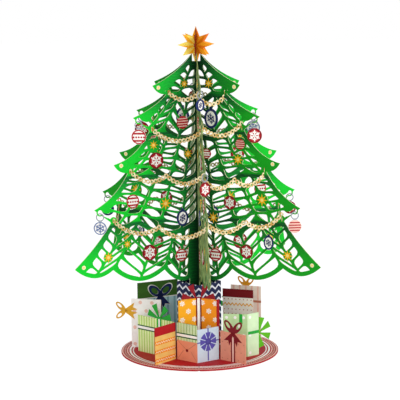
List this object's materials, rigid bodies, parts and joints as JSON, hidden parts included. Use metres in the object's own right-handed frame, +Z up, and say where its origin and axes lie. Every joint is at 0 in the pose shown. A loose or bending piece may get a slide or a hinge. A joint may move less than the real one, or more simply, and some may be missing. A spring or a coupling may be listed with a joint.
{
  "type": "pop up card",
  "caption": "Fold-flat paper card opened into a standing tree of lattice-cut wings, with swags, hanging flat ornaments, a star and paper gifts on a round base.",
  "frame": {"origin": "middle of the round base's underside, on the surface that the card stands on", "axes": "+Z up along the spine, the viewer at -Y, +X to the viewer's right"},
  "size_m": [0.2032, 0.2332, 0.28],
  "materials": {
    "base_board": "matt printed card",
    "trunk_paper": "matt printed card",
    "bright_green": "matt printed card",
    "deep_green": "matt printed card",
    "sheet_green": "matt printed card",
    "star_gold": "matt printed card",
    "garland_cream": "matt printed card",
    "ornament_red": "matt printed card",
    "ornament_navy": "matt printed card",
    "ornament_pale": "matt printed card",
    "ornament_striped": "matt printed card",
    "striped_gift_print": "matt printed card",
    "chevron_gift_print": "matt printed card",
    "front_fold_gift_print": "matt printed card",
    "dusty_gift_print": "matt printed card",
    "dotted_fold_gift_print": "matt printed card",
    "snow_fold_gift_print": "matt printed card",
    "tall_lidded_gift_print": "matt printed card",
    "pale_dotted_gift_print": "matt printed card",
    "banded_gift_print": "matt printed card",
    "rear_pale_gift_print": "matt printed card",
    "back_fold_gift_print": "matt printed card",
    "back_left_gift_print": "matt printed card",
    "back_right_gift_print": "matt printed card"
  },
  "bodies": {
    "card": {"base": "base_board", "trunk_sleeve": "trunk_paper", "star": "star_gold", "front_wing": "sheet_green", "back_wing": "sheet_green", "front_right_wing": "deep_green", "back_left_wing": "deep_green", "front_left_wing": "bright_green", "back_right_wing": "bright_green", "garland_1_front": "garland_cream", "garland_1_front_right": "garland_cream", "garland_1_back_right": "garland_cream", "garland_1_back": "garland_cream", "garland_1_back_left": "garland_cream", "garland_1_front_left": "garland_cream", "garland_2_front": "garland_cream", "garland_2_front_right": "garland_cream", "garland_2_back_right": "garland_cream", "garland_2_back": "garland_cream", "garland_2_back_left": "garland_cream", "garland_2_front_left": "garland_cream", "garland_3_front": "garland_cream", "garland_3_front_right": "garland_cream", "garland_3_back_right": "garland_cream", "garland_3_back": "garland_cream", "garland_3_back_left": "garland_cream", "garland_3_front_left": "garland_cream", "garland_4_front": "garland_cream", "garland_4_front_right": "garland_cream", "garland_4_back_right": "garland_cream", "garland_4_back": "garland_cream", "garland_4_back_left": "garland_cream", "garland_4_front_left": "garland_cream", "striped_gift": "striped_gift_print", "chevron_gift": "chevron_gift_print", "front_fold_gift": "front_fold_gift_print", "dusty_gift": "dusty_gift_print", "dotted_fold_gift": "dotted_fold_gift_print", "snow_fold_gift": "snow_fold_gift_print", "tall_lidded_gift": "tall_lidded_gift_print", "pale_dotted_gift": "pale_dotted_gift_print", "banded_gift": "banded_gift_print", "rear_pale_gift": "rear_pale_gift_print", "back_fold_gift": "back_fold_gift_print", "back_left_gift": "back_left_gift_print", "back_right_gift": "back_right_gift_print"},
    "front_upper_ornament": {"front_upper_ornament": "ornament_navy"},
    "front_lower_ornament": {"front_lower_ornament": "ornament_red"},
    "front_right_upper_ornament": {"front_right_upper_ornament": "ornament_red"},
    "front_right_lower_ornament": {"front_right_lower_ornament": "ornament_striped"},
    "back_right_upper_ornament": {"back_right_upper_ornament": "ornament_pale"},
    "back_right_lower_ornament": {"back_right_lower_ornament": "ornament_red"},
    "back_upper_ornament": {"back_upper_ornament": "ornament_red"},
    "back_lower_ornament": {"back_lower_ornament": "ornament_navy"},
    "back_left_upper_ornament": {"back_left_upper_ornament": "ornament_red"},
    "back_left_lower_ornament": {"back_left_lower_ornament": "ornament_navy"},
    "front_left_upper_ornament": {"front_left_upper_ornament": "ornament_striped"},
    "front_left_lower_ornament": {"front_left_lower_ornament": "ornament_pale"}
  },
  "joints": [
    {"name": "front_upper_swing", "type": "hinge", "parent": "card", "child": "front_upper_ornament", "pos_m": [0.0034, -0.03664, 0.2274], "axis": [-0.723, 0.6909, 0], "range_deg": [-25, 25]},
    {"name": "front_lower_swing", "type": "hinge", "parent": "card", "child": "front_lower_ornament", "pos_m": [0.00685, -0.07388, 0.1639], "axis": [-0.723, 0.6909, 0], "range_deg": [-25, 25]},
    {"name": "front_right_upper_swing", "type": "hinge", "parent": "card", "child": "front_right_upper_ornament", "pos_m": [0.04815, -0.0278, 0.2018], "axis": [0.0872, -0.9962, 0], "range_deg": [-25, 25]},
    {"name": "front_right_lower_swing", "type": "hinge", "parent": "card", "child": "front_right_lower_ornament", "pos_m": [0.08054, -0.0465, 0.1276], "axis": [0.0872, -0.9962, 0], "range_deg": [-25, 25]},
    {"name": "back_right_upper_swing", "type": "hinge", "parent": "card", "child": "back_right_upper_ornament", "pos_m": [0.04815, 0.0278, 0.2018], "axis": [-0.0872, -0.9962, 0], "range_deg": [-25, 25]},
    {"name": "back_right_lower_swing", "type": "hinge", "parent": "card", "child": "back_right_lower_ornament", "pos_m": [0.08054, 0.0465, 0.1276], "axis": [-0.0872, -0.9962, 0], "range_deg": [-25, 25]},
    {"name": "back_upper_swing", "type": "hinge", "parent": "card", "child": "back_upper_ornament", "pos_m": [-0.0034, 0.03664, 0.2274], "axis": [0.5835, 0.8121, 0], "range_deg": [-25, 25]},
    {"name": "back_lower_swing", "type": "hinge", "parent": "card", "child": "back_lower_ornament", "pos_m": [-0.00685, 0.07388, 0.1639], "axis": [0.5835, 0.8121, 0], "range_deg": [-25, 25]},
    {"name": "back_left_upper_swing", "type": "hinge", "parent": "card", "child": "back_left_upper_ornament", "pos_m": [-0.04815, 0.0278, 0.2018], "axis": [-0.0872, 0.9962, 0], "range_deg": [-25, 25]},
    {"name": "back_left_lower_swing", "type": "hinge", "parent": "card", "child": "back_left_lower_ornament", "pos_m": [-0.08054, 0.0465, 0.1276], "axis": [-0.0872, 0.9962, 0], "range_deg": [-25, 25]},
    {"name": "front_left_upper_swing", "type": "hinge", "parent": "card", "child": "front_left_upper_ornament", "pos_m": [-0.04815, -0.0278, 0.2018], "axis": [0.0872, 0.9962, 0], "range_deg": [-25, 25]},
    {"name": "front_left_lower_swing", "type": "hinge", "parent": "card", "child": "front_left_lower_ornament", "pos_m": [-0.08054, -0.0465, 0.1276], "axis": [0.0872, 0.9962, 0], "range_deg": [-25, 25]}
  ]
}
